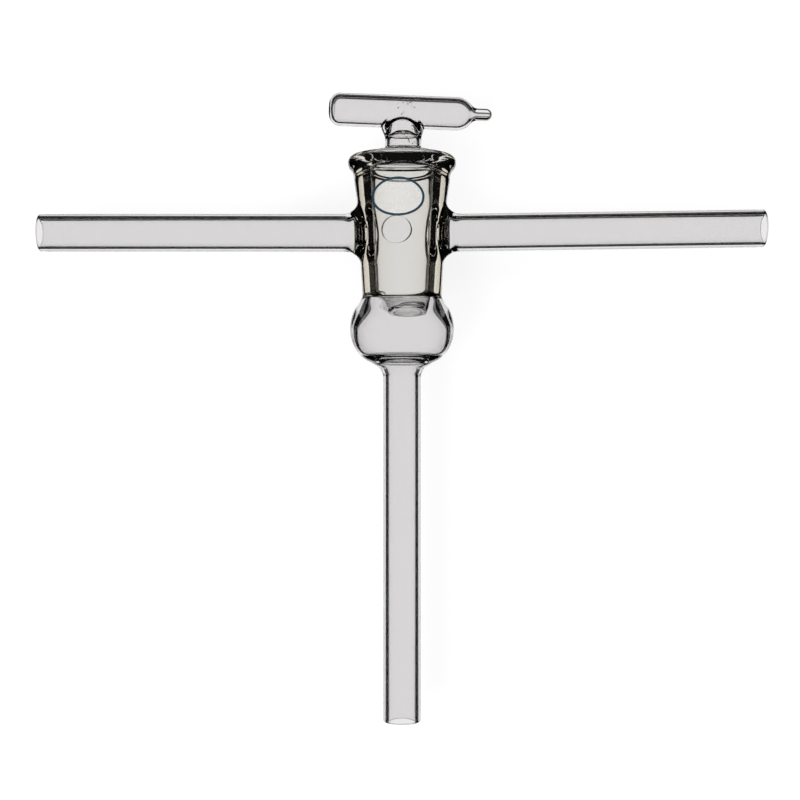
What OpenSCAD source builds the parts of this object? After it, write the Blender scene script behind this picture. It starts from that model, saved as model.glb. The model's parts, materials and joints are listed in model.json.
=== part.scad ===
// Three-way vacuum stopcock of blown borosilicate glass. The barrel is one blown piece:
// a flanged tapered shell with a ground bore, two side arms, a bulb and a lower tube.
// The plug is a second blown piece: a hollow ground cone with a neck and a T handle,
// a side port and an open lower end. It turns in the barrel without limit.
//
// Millimetres. The stopcock lies level on its side, on the rim of the flange: +Z points
// up from the surface, +Y runs along the plug axis to the handle, and the arms lie
// along X. The origin is the middle of the bounding box's underside.
//
// Each piece is drawn upright about the plug axis, from the arms' axis at height 0,
// with the handle up and the front towards -Y. lay_down() then puts it in its place.

/* [Tubing] */
// Outside diameter of the arms and of the lower tube
tube_d = 12; // [10:0.5:14]
// Wall of the arms and of the lower tube
tube_wall = 1.5; // [1:0.1:2]
// Reach of each arm from the plug axis
arm_reach = 116; // [60:1:180]
// Lean of the right arm towards the handle, in degrees
arm_lean = 0.8; // [0:0.1:3]
// Reach of the lower tube below the arms' axis
outlet_reach = 156.3; // [90:0.1:220]
// Rounding of the fire-polished tube ends
end_round = 0.6; // [0.2:0.1:0.7]
// Radius of the fillets where the arms are fused on
root_fillet = 2.6; // [1:0.1:3.5]
// Length of each arm's bore that widens towards the shell
root_flare_h = 4; // [2:0.5:8]

/* [Shell] */
// Diameter of the shell at its lower end
shell_foot_d = 25.3; // [24.5:0.1:29]
// Diameter of the shell at its waist, above the arms
shell_waist_d = 28.3; // [27:0.1:31]
// Diameter of the shell under the flange
shell_top_d = 31.6; // [30:0.1:33]
// Diameter of the flange
flange_d = 34.7; // [34:0.1:42]
// Thickness of the flange
flange_h = 4.8; // [3:0.1:6]

/* [Ground cone] */
// Diameter of the plug's cone where the ground bore ends
cone_d = 19.2; // [17:0.1:20]
// Length of cone that gains 1 mm of diameter
taper = 10; // [8:0.5:14]
// Depth of the ground bore's lower end below the arms' axis
bore_depth = 20.6; // [16:0.1:24]
// Height of the flange's top above the arms' axis
bore_height = 24.7; // [22:0.1:30]
// Grease gap between the plug and the ground bore, on the radius
cone_gap = 0.03; // [0.01:0.01:0.08]
// Step out from the ground bore to the bulb's mouth, on the radius
mouth_step = 0.8; // [0.4:0.1:1.2]

/* [Bulb] */
// Diameter of the bulb
bulb_d = 33.2; // [30:0.1:34]
// Width of the bulb's rounded rim, on the radius
bulb_swell = 9.6; // [8:0.1:10]
// Depth of the bulb's widest ring below the ground bore
bulb_sink = 10.2; // [9:0.1:13]
// Height of the bulb's curve above its widest ring
bulb_rise = 11.8; // [10:0.1:13]
// Depth of the bulb's curve below its widest ring
bulb_drop = 11.2; // [9:0.1:13]
// Wall of the bulb
bulb_wall = 2.2; // [1.6:0.1:2.4]
// Diameter of the lipped throat from the bulb to the lower tube
throat_d = 11.8; // [10:0.1:12]
// Thickness of the throat's lip
lip_h = 1.2; // [1:0.1:1.8]
// Length of the fillet that runs from the bulb down to the lower tube
outlet_fillet = 4.2; // [4:0.1:9]

/* [Plug] */
// Wall of the hollow plug
plug_wall = 1.4; // [1:0.1:2]
// Diameter of the side port, and of the arms' holes in the ground bore
port_d = 8.5; // [5:0.1:9]
// Angle of the side port from the front, to the left, in degrees
port_angle = 10; // [0:1:30]
// Height of the plug's shoulder above the flange
shoulder_rise = 1.3; // [0.8:0.1:4]
// Rounding of the shoulder
shoulder_round = 2.5; // [1.5:0.1:3]
// Height of the domed top of the hollow
dome_h = 4.6; // [3:0.1:6]
// Length of cone that stands out below the ground bore
nose_reach = 1; // [0.5:0.1:2]
// Length of the rounded lower end, below the cone
nose_h = 4; // [3:0.1:5]
// Diameter of the hole in the lower end
nose_hole_d = 8; // [5:0.1:10]
// Offset of that hole to the right, then to the front
nose_offset = [1.8, 1.2]; // [0:0.1:2]

/* [Handle] */
// Diameter of the neck
neck_d = 11.6; // [9:0.1:13]
// Radius of the fillet at the foot of the neck
neck_fillet = 1.8; // [1:0.1:2.5]
// Flare of the neck where it meets the handle, on the radius
neck_flare = 1.2; // [0.5:0.1:2]
// Wall of the neck and of the handle
handle_wall = 1.25; // [1:0.05:1.6]
// Diameter of the handle
handle_d = 10.5; // [9:0.1:12]
// Height of the handle's axis above the flange
handle_rise = 14.05; // [13:0.05:25]
// Lean of the handle, its right end down, in degrees
handle_lean = 2.2; // [0:0.1:5]
// Reach of the handle's closed left end from the plug axis
handle_left = 23.4; // [16:0.1:35]
// Reach of the handle's straight part to the right of the plug axis
handle_right = 17.4; // [12:0.1:30]
// Rounding of the left end
handle_round = 3.6; // [2:0.1:4.2]
// Length of the shoulder that draws down to the seal-off tip
draw_h = 6.8; // [5.5:0.1:9]
// Rounding of that shoulder where it leaves the straight part
draw_round = 6; // [5:0.1:7]
// Diameter of the seal-off tip
tip_d = 3.4; // [2.5:0.1:4]
// Length of the seal-off tip
tip_h = 4.6; // [3:0.1:8]
// Diameter of the hole in the web that crosses the neck
web_hole_d = 3; // [2:0.1:4]
// Thickness of that web
web_h = 1.2; // [1:0.1:2]
// Rise of the domed web towards the handle
web_dome = 1.2; // [0.5:0.1:1.6]

/* [Hidden] */
$fn = 72;
arc_steps = 8;
over = 1;                                   // how far a cut runs past the face it opens
seat = 0.3;                                 // how far one blown form sinks into the next
clear_glass = [0.84, 0.86, 0.85, 0.55];

tube_r = tube_d/2;
bore_r = tube_r - tube_wall;
port_r = port_d/2;
flange_r = flange_d/2;
neck_r = neck_d/2;
handle_r = handle_d/2;

// Heights above the arms' axis
waist_height = tube_r + root_fillet;        // where the shell starts to widen to the flange
bulb_height = -bore_depth - bulb_sink;      // the bulb's widest ring
bulb_floor = bulb_height - bulb_drop;
outlet_top = bulb_floor - outlet_fillet;    // where the straight lower tube starts
nose_height = -bore_depth - nose_reach;     // where the plug's cone ends
shoulder_height = bore_height + shoulder_rise;
handle_height = bore_height + handle_rise;
handle_floor = handle_height - handle_r + seat;
web_height = handle_floor - seat - handle_wall - web_h;

// Cone radius of the plug, and shell radius below its waist, at a height
function cone_r(h) = cone_d/2 + (h + bore_depth)/(2*taper);
function shell_r(h) = lookup(h, [[-bore_depth, shell_foot_d/2], [waist_height, shell_waist_d/2]]);

// Points of an arc about c, with radii r = [across, up]
function arc(c, r, from, to) =
    [for (i = [0:arc_steps]) let (a = from + (to - from)*i/arc_steps) c + [r[0]*cos(a), r[1]*sin(a)]];

// The bulb's oval curve, drawn in by a wall: its centre and radii
function bulb_c() = [bulb_d/2 - bulb_swell, bulb_height];
function bulb_lower(wall) = [bulb_swell - wall, bulb_drop - wall];
function bulb_upper(wall) = [bulb_swell - wall, bulb_rise - wall];
// Angle at which that curve reaches a radius above the widest ring
function bulb_angle(r, wall) = acos((r - bulb_c()[0])/(bulb_swell - wall));

// Reach of the leaning arm along its own axis, so that its end comes to arm_reach
lean_reach = shell_r(0) + (arm_reach - shell_r(0) - tube_r*sin(arm_lean))/cos(arm_lean);

// Top of the handle's raised left end, and the middle of the whole length
handle_top = handle_height + (handle_left - handle_round)*sin(handle_lean)
    + (handle_r - handle_round)*cos(handle_lean) + handle_round;
mid_height = (handle_top - outlet_reach)/2;

// Lays an upright piece on its back, with the flange's rim on the surface
module lay_down() translate([0, -mid_height, flange_r]) rotate([-90, 0, 0]) children();

// Turns an arm drawn up the Z axis to point right, leaning up about the shell's side
module point_right(lean)
    translate([shell_r(0), 0, 0]) rotate([0, 90 - lean, 0]) translate([0, 0, -shell_r(0)]) children();

// Outside of the barrel, from the end of the lower tube up to the flange
module barrel_form() {
    rim = flange_h/2;
    fillet_angle = -70;                     // where the bulb's curve passes into the fillet
    meet = arc(bulb_c(), bulb_lower(0), fillet_angle, 0)[0];
    rotate_extrude() polygon(concat(
        [[0, -outlet_reach]],
        arc([tube_r - end_round, end_round - outlet_reach], [end_round, end_round], -90, 0),
        arc([meet[0], outlet_top], [meet[0] - tube_r, meet[1] - outlet_top], 180, 90),
        arc(bulb_c(), bulb_lower(0), fillet_angle, 0),
        arc(bulb_c(), bulb_upper(0), 0, bulb_angle(shell_foot_d/2, 0)),
        [[shell_foot_d/2, -bore_depth], [shell_waist_d/2, waist_height]],
        arc([shell_top_d/2, bore_height - rim], [flange_r - shell_top_d/2, rim], -90, 0),
        arc([flange_r - rim, bore_height - rim], [rim, rim], 0, 90),
        [[0, bore_height]]));
}

// Inside of the barrel, past both ends: bore, lipped throat, bulb, mouth and ground bore
module barrel_hollow() {
    top = bore_height + over;
    mouth_r = cone_r(-bore_depth) + mouth_step;
    lip_r = lip_h/2;
    lip = [throat_d/2 + lip_r, bulb_floor + bulb_wall - lip_r];
    under = lip + [lip_r, -lip_h];          // widest part of the undercut below the lip
    bore_top = outlet_top + tube_wall;
    rotate_extrude() polygon(concat(
        [[0, -outlet_reach - over], [bore_r, -outlet_reach - over]],
        arc([under[0], bore_top], [under[0] - bore_r, under[1] - bore_top], 180, 90),
        arc(lip, [lip_r, lip_r], 270, 90),
        arc(bulb_c(), bulb_lower(bulb_wall), -90, 0),
        arc(bulb_c(), bulb_upper(bulb_wall), 0, bulb_angle(mouth_r, bulb_wall)),
        [[mouth_r, -bore_depth], [cone_r(-bore_depth) + cone_gap, -bore_depth],
         [cone_r(top) + cone_gap, top], [0, top]]));
}

// An arm from inside the shell to its end, with the fillet of its fused root
module arm_form(reach) {
    foot_r = tube_r + root_fillet;
    root = shell_r(-foot_r);
    inner = sqrt(pow(root, 2) - pow(foot_r, 2)) - over;
    rotate_extrude() polygon(concat(
        [[0, inner], [foot_r, inner]],
        arc([foot_r, root + root_fillet], [root_fillet, root_fillet], 270, 180),
        arc([tube_r - end_round, reach - end_round], [end_round, end_round], 0, 90),
        [[0, reach]]));
}

// The bore of an arm: the hole through the shell, the widened root, and the tube's bore
module arm_hollow(reach) {
    face = sqrt(pow(shell_r(0), 2) - pow(port_r, 2));
    rotate_extrude() polygon([
        [0, 0], [port_r, 0], [port_r, face], [bore_r + over, face + over],
        [bore_r, face + over + root_flare_h], [bore_r, reach + over], [0, reach + over]]);
}

module barrel()
    color(clear_glass) lay_down() difference() {
        union() {
            barrel_form();
            point_right(arm_lean) arm_form(lean_reach);
            mirror([1, 0, 0]) point_right(0) arm_form(arm_reach);
        }
        barrel_hollow();
        point_right(arm_lean) arm_hollow(lean_reach);
        mirror([1, 0, 0]) point_right(0) arm_hollow(arm_reach);
    }

// Outside of the plug: rounded nose, ground cone, shoulder, and neck up into the handle
module plug_form() {
    nose_r = cone_r(nose_height);
    bend = shoulder_height - shoulder_round;
    rotate_extrude() polygon(concat(
        [[0, nose_height - nose_h]],
        arc([nose_r/2, nose_height], [nose_r/2, nose_h], -90, 0),
        arc([cone_r(bend) - shoulder_round, bend], [shoulder_round, shoulder_round], 0, 90),
        arc([neck_r + neck_fillet, shoulder_height + neck_fillet], [neck_fillet, neck_fillet], 270, 180),
        arc([neck_r + neck_flare, handle_floor - 2*neck_flare], [neck_flare, 2*neck_flare], 180, 90),
        [[handle_r - seat, handle_height], [0, handle_height]]));
}

// Hollow of the plug and its neck, with a domed, holed web between the neck and the handle
module plug_hollow() {
    low = nose_height + plug_wall + seat;   // the straight wall ends above the nose
    high = shoulder_height - plug_wall - dome_h;
    low_r = cone_r(low) - plug_wall;
    neck_bore_r = neck_r - handle_wall;
    dome_foot_r = neck_bore_r + handle_wall;
    recess_r = handle_r - handle_wall - over/10;    // just clear of the handle's hollow
    rotate_extrude() polygon(concat(
        [[0, low - nose_h]],
        arc([low_r/2, low], [low_r/2, nose_h], -90, 0),
        arc([dome_foot_r, high], [cone_r(high) - plug_wall - dome_foot_r, dome_h], 0, 90),
        [[neck_bore_r, high + dome_h + handle_wall]],
        arc([0, web_height], [neck_bore_r, web_dome], 0, 90)));
    cylinder(h = handle_height, d = web_hole_d);
    rotate_extrude() polygon(concat(
        arc([0, web_height + web_h], [recess_r, web_dome], 90, 0),
        [[recess_r, handle_height], [0, handle_height]]));
}

// The handle's outline drawn in by a wall, drawn up the Z axis from its left end. The
// drawn shoulder is a convex arc that runs into a concave one at the seal-off tip.
module handle_form(wall, end_h) {
    r = handle_r - wall;
    end_r = handle_round - wall;
    tip_r = max(tip_d/2 - wall, seat);
    tip_round = 0.9*min(tip_r, end_h/2);
    top = handle_right + draw_h + end_h;
    bulge = draw_round - wall;
    fall = r - tip_r;
    sweep = (pow(draw_h, 2) + pow(bulge - fall, 2) - pow(bulge, 2))/(2*fall);
    turn = asin(draw_h/(bulge + sweep));
    rotate_extrude() polygon(concat(
        [[0, wall - handle_left]],
        arc([r - end_r, wall - handle_left + end_r], [end_r, end_r], -90, 0),
        arc([r - bulge, handle_right], [bulge, bulge], 0, turn),
        arc([tip_r + sweep, handle_right + draw_h], [sweep, sweep], 180 + turn, 180),
        arc([tip_r - tip_round, top - tip_round], [tip_round, tip_round], 0, 90),
        [[0, top]]));
}

module place_handle() translate([0, 0, handle_height]) rotate([0, 90 + handle_lean, 0]) children();

module plug()
    color(clear_glass) lay_down() difference() {
        union() {
            plug_form();
            place_handle() handle_form(0, tip_h);
        }
        plug_hollow();
        place_handle() handle_form(handle_wall, tip_h/2);
        // the side port, through the front wall only
        rotate([0, 0, -port_angle]) rotate([90, 0, 0]) cylinder(h = cone_d, r = port_r);
        translate([nose_offset[0], -nose_offset[1], nose_height - nose_h - over])
            cylinder(h = nose_h + over, d = nose_hole_d);
    }

barrel();
plug();
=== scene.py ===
"""The looks of a three-way vacuum stopcock of blown borosilicate glass.

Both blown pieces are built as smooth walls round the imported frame's own places. Each is
drawn upright about the plug axis: heights start at the arms' axis, the front is -Y, and
lay_down() lays the finished points on their side, as the stopcock rests. Sizes are in
metres, as Blender keeps them.
"""

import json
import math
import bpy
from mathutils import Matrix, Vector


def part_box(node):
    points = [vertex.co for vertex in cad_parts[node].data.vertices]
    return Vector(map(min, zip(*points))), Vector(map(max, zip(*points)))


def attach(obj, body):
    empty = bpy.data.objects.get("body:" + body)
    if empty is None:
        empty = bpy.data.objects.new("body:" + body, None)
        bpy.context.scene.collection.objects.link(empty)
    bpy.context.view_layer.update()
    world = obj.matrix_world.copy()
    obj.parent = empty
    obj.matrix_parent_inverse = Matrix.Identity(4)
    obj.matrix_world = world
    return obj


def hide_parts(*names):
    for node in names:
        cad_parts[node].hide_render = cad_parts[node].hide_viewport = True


bl_info = {
    "name": "Glass Stopcock",
    "version": (1, 0, 0),
    "blender": (4, 5, 0),
    "location": "3D View > Sidebar > Stopcock",
    "description": "Builds a blown glass stopcock with a hollow T-handled plug, and its stage",
    "category": "Add Mesh",
}

from collections import namedtuple

import bmesh
import bpy
from bpy.props import FloatProperty, FloatVectorProperty, IntProperty, PointerProperty
from mathutils import Vector

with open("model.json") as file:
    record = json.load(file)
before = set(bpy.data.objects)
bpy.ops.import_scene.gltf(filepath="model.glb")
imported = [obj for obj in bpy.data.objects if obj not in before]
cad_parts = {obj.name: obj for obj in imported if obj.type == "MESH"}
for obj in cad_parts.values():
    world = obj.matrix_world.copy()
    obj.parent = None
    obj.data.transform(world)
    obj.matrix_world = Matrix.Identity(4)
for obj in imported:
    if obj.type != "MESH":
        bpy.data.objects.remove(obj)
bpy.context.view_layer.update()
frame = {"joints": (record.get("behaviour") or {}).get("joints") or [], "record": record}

MM = 0.001
COLUMNS = 128  # points round the plug axis
HANDLE_COLUMNS = 64  # points round the handle
CLEAR, GROUND = 0, 1  # a piece's material slots: fire-polished glass, and the ground joint
SUPPORT = 1.5 * MM  # keeps a straight stretch straight beside a curve
ROOT_WAVER = 0.12 * MM  # how far the hand-blown pocket of an arm's root wavers

# Windows left open in a turned skin, for what is blown out of it. Columns to each side of a
# window's middle, the heights of the port's rows in millimetres, and steps along the handle
OUTER_WINDOW, INNER_WINDOW, PORT_WINDOW, HANDLE_WINDOW = 19, 11, 12, 15
PORT_ROWS = [row * 0.45 for row in range(-12, 13)]
HANDLE_ROWS = 34

FILM_GAP = 0.01 * MM  # between the enamel and the glass
RAY_START = 0.2  # height from which the enamel is dropped on the glass
SEED_DEPTH = 0.45 * MM  # of a seed's middle under the glass's skin
SMALLEST_SEED = 0.45  # share of the largest

# Light round the stage: stops of (height, colour), from 0, straight down, to 1, straight up
FLAG = (0.006, 0.006, 0.006, 1.0)
WHITE = (1.0, 1.0, 1.0, 1.0)
WARM = (0.85, 0.84, 0.78, 1.0)
ROOM_LIGHT = 0.55  # that the floor gets from the room
TABLE_GREY, TABLE_GLOW = (0.2, 0.2, 0.2, 1.0), 0.85
FIELD = [(0.0, WHITE), (0.052, WHITE), (0.062, FLAG)]
BAND = [(0.17, FLAG), (0.2, WARM), (0.72, WARM), (0.8, FLAG)]
OVERHEAD = [(1.0, FLAG)]

# Places taken from the frame
PLUG_AXIS = Vector(frame["joints"][0]["pos_m"])
MOUNTS = {mount["name"]: mount for mount in frame["record"]["mounts"]}
TUBE_R = MOUNTS["outlet"]["dims"]["r_mm"] * MM
BARREL_LOW, BARREL_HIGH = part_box("barrel")
OUTLET_DEPTH, BARREL_TOP = PLUG_AXIS.y - BARREL_LOW.y, BARREL_HIGH.y - PLUG_AXIS.y
FLANGE_R = (BARREL_HIGH.z - BARREL_LOW.z) / 2
ARM_LEAN = math.atan2(MOUNTS["right_arm"]["axis"][1], MOUNTS["right_arm"]["axis"][0])


# --- Sizes and colours that a user would change ---------------------------------------


def number(name, description, value, **kind):
    return FloatProperty(name=name, description=description, default=value, **kind)


def length(name, description, millimetres):
    return number(name, description, millimetres * MM, unit="LENGTH", precision=5)


def turning(name, description, degrees):
    return number(name, description, math.radians(degrees), subtype="ANGLE", unit="ROTATION")


def position(name, description, *millimetres):
    value = [part * MM for part in millimetres]
    return FloatVectorProperty(
        name=name, description=description, default=value, subtype="TRANSLATION", unit="LENGTH"
    )


def linear(hex_colour):
    """Linear colour of an sRGB hex value."""
    parts = [int(hex_colour[i : i + 2], 16) / 255 for i in (1, 3, 5)]
    parts = [c / 12.92 if c <= 0.04045 else ((c + 0.055) / 1.055) ** 2.4 for c in parts]
    return (*parts, 1.0)


def colour(name, description, hex_colour):
    value = linear(hex_colour)
    return FloatVectorProperty(
        name=name, description=description, default=value, size=4, min=0.0, max=1.0, subtype="COLOR"
    )


class BarrelSizes(bpy.types.PropertyGroup):
    """Sizes of the blown barrel"""

    tube_r: length("Tube radius", "Outside of the arms and of the lower tube", TUBE_R / MM)
    tube_wall: length("Tube wall", "Wall of the arms and of the lower tube", 1.5)
    tube_end: length("Tube end", "Rounding of the fire-polished tube ends, outside", 0.6)
    tube_end_in: length("Tube end inside", "Rounding of the same ends, inside", 0.5)
    arm_reach: length("Arm reach", "From the plug axis to each arm's end", BARREL_HIGH.x / MM)
    outlet_depth: length("Outlet depth", "From the arms' axis to the lower end", OUTLET_DEPTH / MM)
    top: length("Top", "Height of the flange's top", BARREL_TOP / MM)
    root_spread: length("Root spread", "Growth of an arm's radius where it is fused on", 4.2)
    root_run: length("Root run", "Length of an arm over which it spreads", 5.3)
    pocket_r: length("Pocket radius", "Widest inside of an arm's root", 5.7)
    pocket_depth: length("Pocket depth", "Start of the pocket, from the plug axis", 12.9)
    hole_r: length("Hole radius", "Holes from the ground bore to the arms", 4.25)
    foot_r: length("Foot radius", "Shell at the ground bore's lower end", 12.65)
    waist_r: length("Waist radius", "Shell just above the arms", 14.15)
    waist_height: length("Waist height", "Where the shell starts to widen", 8.6)
    neck_r: length("Upper radius", "Shell under the flange", 15.8)
    flange_r: length("Flange radius", "Outside of the flange", FLANGE_R / MM)
    flange_h: length("Flange thickness", "Full-round rim of the flange", 4.8)
    bore_depth: length("Bore depth", "Lower end of the shell, where the bulb starts", 20.6)
    ground_end: length("Ground end", "Lower end of the ground bore", 21.3)
    cone_r: length("Cone radius", "Plug at the ground bore's lower end", 9.6)
    cone_gap: length("Grease gap", "Between the plug and the ground bore", 0.03)
    mouth_step: length("Mouth step", "From the ground bore out to the bulb's mouth", 0.8)
    bulb_r: length("Bulb radius", "Widest ring of the bulb", 16.6)
    bulb_swell: length("Bulb swell", "Radius of the bulb's rim, outwards", 9.6)
    bulb_sink: length("Bulb depth", "Widest ring, below the ground bore", 10.2)
    bulb_rise: length("Bulb rise", "Curve above the widest ring", 11.8)
    bulb_drop: length("Bulb drop", "Curve below the widest ring", 11.2)
    bulb_wall: length("Bulb wall", "Wall of the bulb at its widest ring", 2.1)
    floor_wall: length("Floor wall", "Thicker glass of the bulb's floor", 2.7)
    floor_r: length("Floor radius", "Flat ring of the bulb's floor, outside", 9.9)
    throat_r: length("Throat radius", "Lipped throat under the bulb", 5.9)
    lip_r: length("Lip radius", "Half the thickness of the throat's lip", 0.4)
    undercut_r: length("Undercut radius", "Widest inside below the throat's lip", 7.6)
    outlet_fillet: length("Outlet fillet", "From the bulb's floor to the straight tube", 4.2)


class PlugSizes(bpy.types.PropertyGroup):
    """Sizes of the blown plug and its handle"""

    wall: length("Plug wall", "Wall of the hollow cone", 1.4)
    port_r: length("Port radius", "Side port of the plug", 4.25)
    port_turn: turning("Port turn", "Side port's direction round the axis, from the right", 260)
    shoulder_rise: length("Shoulder rise", "Plug's shoulder above the flange", 1.3)
    shoulder_round: length("Shoulder rounding", "Rounding of the shoulder", 2.5)
    dome_h: length("Dome height", "Domed top of the hollow", 4.0)
    mark_height: length("Ring mark height", "Ring that a tool left inside the hollow", 19.2)
    mark: length("Ring mark", "Height of that ring on the wall", 0.12)
    nose_reach: length("Nose reach", "Cone below the ground bore", 0.4)
    nose_h: length("Nose height", "Funnel that closes the lower end", 2.9)
    nose_wall: length("Nose wall", "Thin blown wall of that funnel", 0.4)
    nose_lip_r: length("Nose lip radius", "Outside of the flat lip round the lower hole", 6.3)
    nose_lip_h: length("Nose lip height", "Thickness of that lip", 0.6)
    nose_tilt: turning("Nose tilt", "Tilt of the lower hole, its front up", 2)
    nose_hole_r: length("Nose hole radius", "Hole in the lower end", 4.3)
    nose_side: length("Nose hole side", "Offset of that hole to the right", 1.8)
    nose_front: length("Nose hole front", "Offset of that hole to the front", 1.2)
    neck_r: length("Neck radius", "Outside of the neck", 5.8)
    neck_side: length("Neck side", "Offset of the hand-sealed neck to the right", 0.4)
    neck_fillet: length("Neck fillet", "Foot of the neck", 1.8)
    neck_top: length("Neck top", "Where the neck starts to flare, above the arms' axis", 29.6)
    handle_wall: length("Handle wall", "Wall of the neck and the handle", 1.25)
    handle_r: length("Handle radius", "Outside of the handle", 5.25)
    handle_height: length("Handle height", "Handle's axis above the arms' axis", 38.75)
    handle_lean: turning("Handle lean", "Lean of the handle, its right end down", 2.2)
    handle_left: length("Handle left", "Closed left end, from the plug axis", 23.4)
    handle_right: length("Handle right", "End of the straight part, from the plug axis", 17.4)
    handle_round: length("Handle rounding", "Rounding of the left end", 3.6)
    draw_h: length("Draw length", "Shoulder that draws down to the tip", 6.8)
    draw_round: length("Draw rounding", "Rounding of that shoulder", 6.0)
    tip_r: length("Tip radius", "Seal-off tip", 1.95)
    tip_h: length("Tip length", "Seal-off tip", 4.6)
    capillary_r: length("Capillary radius", "Fine bore of the tip", 0.5)
    capillary_h: length("Capillary length", "Fine bore of the tip", 3.68)
    saddle_r: length("Saddle radius", "Seal of the neck on the handle, along the handle", 6.85)
    saddle_round: length("Saddle radius round", "The same seal, round the handle's skin", 5.95)
    web_height: length("Web height", "Edge of the domed web that crosses the neck", 30.7)
    web_dome: length("Web dome", "Rise of that web's underside towards the handle", 1.1)
    web_wall: length("Web wall", "Thickness of the web in its middle", 0.7)
    web_r: length("Web radius", "Top of the web, where the handle's hollow starts", 4.0)
    web_hole_r: length("Web hole radius", "Hole from the neck into the handle", 0.8)
    mouth_r: length("Mouth radius", "Opening into the handle's hollow, along the handle", 4.6)
    mouth_round: length("Mouth radius round", "The same opening, round the handle's skin", 3.85)
    mouth_back: length("Mouth offset", "Offset of that opening to the back, round the skin", 0.45)
    seam: length("Seam", "Ridge of the neck, below that seal", 1.0)


class MarkingSizes(bpy.types.PropertyGroup):
    """Sizes of the write-on spot"""

    width: length("Width", "Width of the oval, round the shell", 16.5)
    height: length("Height", "Height of the oval", 12.0)
    line: length("Line width", "Width of the enamel outline", 0.72)
    film: length("Film", "Thickness of the fired enamel", 0.04)
    side: length("Side", "Middle of the oval, to the right of the front", -1.25)
    rise: length("Rise", "Middle of the oval above the arms' axis", 9.8)
    segments: IntProperty(name="Segments", description="Points round the oval", default=96, min=24)


class SeedSizes(bpy.types.PropertyGroup):
    """Sizes and places of the seeds, the tiny bubbles in the glass"""

    radius: length("Radius", "Largest seed", 0.26)
    neck_middle: position("Neck middle", "Right, back and height of the neck's", 3.4, -4.6, 29.4)
    neck_reach: length("Neck reach", "How far the neck's seeds spread", 2.2)
    neck_density: number("Neck density", "Seeds per square metre of the neck's skin", 6e5)
    handle_middle: position("Handle middle", "Right, back and height of the handle's", 1, -5, 40.2)
    handle_reach: length("Handle reach", "How far the handle's seeds spread", 3.4)
    handle_density: number("Handle density", "Seeds per square metre of the handle's skin", 2.2e5)


class GlassFinish(bpy.types.PropertyGroup):
    """Colours of the glass and of the enamel"""

    glass: colour("Glass", "Borosilicate glass, seen through two faces", "#F2F1F1")
    joint: colour("Ground joint", "Greased ground faces of the joint, seen straight on", "#FFFFFE")
    joint_edge: colour("Ground joint's edge", "The same faces, seen edge on", "#EDE8DA")
    haze: colour("Haze", "Uneven haze in the grease", "#D8D0BC")
    outline: colour("Outline", "Fired enamel of the oval's outline", "#1A3644")
    outline_light: colour("Outline's grain", "Lighter grain of the same enamel", "#2B4A58")
    spot: colour("Write-on spot", "Thin white enamel inside the oval", "#F4F6F6")


class StageSettings(bpy.types.PropertyGroup):
    """Camera and stage"""

    camera_height: length("Camera height", "Camera above the arms", 480.0)
    camera_side: length("Camera side", "Middle of the view, right of the plug axis", -0.64)
    camera_rise: length("Camera rise", "Middle of the view above the origin", 2.27)
    lens: number("Lens", "Focal length in millimetres", 67.5, subtype="DISTANCE_CAMERA")
    floor_width: length("Floor width", "Side of the square floor", 8000.0)
    floor_gap: length("Floor gap", "Floor below the resting stopcock", 0.2)


GROUPS = {
    "stopcock_barrel": BarrelSizes,
    "stopcock_plug": PlugSizes,
    "stopcock_marking": MarkingSizes,
    "stopcock_seeds": SeedSizes,
    "stopcock_glass": GlassFinish,
    "stopcock_stage": StageSettings,
}


# --- Curves and walls -----------------------------------------------------------------


def lay_down(point):
    """Lays a point of an upright piece on its side, where the stopcock rests."""
    return (point[0], point[2] + PLUG_AXIS.y, PLUG_AXIS.z - point[1])


def arc(centre, radii, start, end, steps):
    """Points of an arc about centre, between two angles in degrees."""
    (x, y), (across, up) = centre, radii
    angles = [math.radians(start + (end - start) * i / steps) for i in range(steps + 1)]
    return [(x + across * math.cos(a), y + up * math.sin(a)) for a in angles]


def bend(start, start_way, end, end_way, steps):
    """Points of a smooth curve that leaves start and reaches end along two directions.

    The longer a direction is given, the further the curve keeps to it.
    """
    a, d = Vector(start), Vector(end)
    b, c = a + Vector(start_way), d - Vector(end_way)
    points = []
    for i in range(steps + 1):
        t = i / steps
        u = 1 - t
        points.append(tuple(a * u**3 + b * (3 * u * u * t) + c * (3 * u * t * t) + d * t**3))
    return points


def way(points, millimetres):
    """The direction from the first to the last of the points, so many millimetres long."""
    return (Vector(points[-1]) - Vector(points[0])).normalized() * millimetres * MM


def straight(start, end, steps):
    """Points from start to end."""
    a, b = Vector(start), Vector(end)
    return [tuple(a.lerp(b, i / steps)) for i in range(steps + 1)]


def rounded(corners, steps):
    """Points of a line whose corners, given as ((radius, height), rounding), are rounded."""
    places = [Vector(place) for place, rounding in corners]
    roundings = [rounding for place, rounding in corners]
    points = [tuple(places[0])]
    for before, corner, after, rounding in zip(places, places[1:], places[2:], roundings[1:]):
        back = (before - corner).normalized() * rounding
        on = (after - corner).normalized() * rounding
        points += bend(corner + back, back * -0.6, corner + on, on * 0.6, steps)
    return points + [tuple(places[-1])]


def ease(t):
    """0 to 1, starting and ending gently."""
    t = min(max(t, 0.0), 1.0)
    return t * t * (3 - 2 * t)


def facing(angle, depth, side, rise):
    """A point seen from the direction that faces angle: its depth is from the plug axis."""
    c, s = math.cos(angle), math.sin(angle)
    return (depth * c - side * s, depth * s + side * c, rise)


def uneven(angle, sides, front, back):
    """A length in millimetres at a ring's sides, with what it gains at the front and the back."""
    s = math.sin(angle)
    return (sides + front * max(-s, 0) ** 1.5 + back * max(s, 0) ** 2) * MM


def circle(count, radius):
    """Side and rise of points round a circle, from its right."""
    turns = [2 * math.pi * k / count for k in range(count)]
    return [(radius * math.cos(a), radius * math.sin(a)) for a in turns]


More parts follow.
